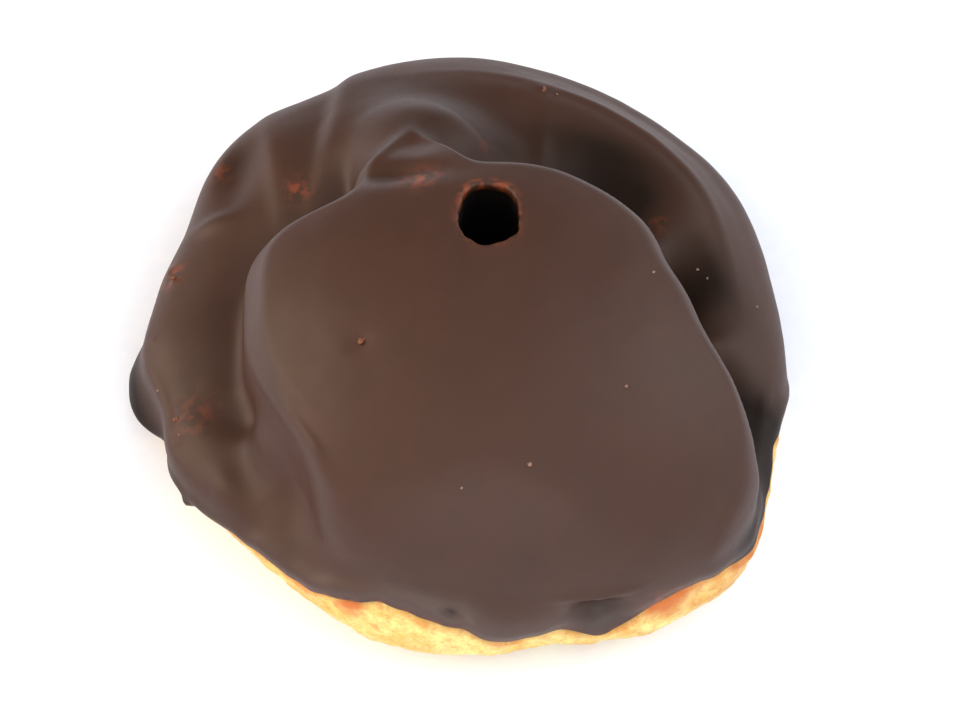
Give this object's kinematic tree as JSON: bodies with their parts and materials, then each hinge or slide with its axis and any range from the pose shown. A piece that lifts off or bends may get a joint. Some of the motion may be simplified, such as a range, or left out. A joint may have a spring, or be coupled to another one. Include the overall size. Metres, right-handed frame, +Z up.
{
  "type": "cream puff",
  "caption": "Round choux bun dipped in dark chocolate, smooth domed cap over a lumpy ring, with a small round filling hole near the top and bare golden crust at the front.",
  "frame": {"origin": "Bottom centre of the bounding box, on the flat base the bun rests on.", "axes": "+Z up, -Y toward the front where the bare crust shows, +X to the right as seen from the front."},
  "size_m": [0.0841, 0.0855, 0.04],
  "materials": {
    "choux_crust": "matte",
    "dark_chocolate": "satin"
  },
  "bodies": {
    "root": {"choux_bun": "choux_crust", "chocolate_coating": "dark_chocolate"}
  },
  "joints": []
}
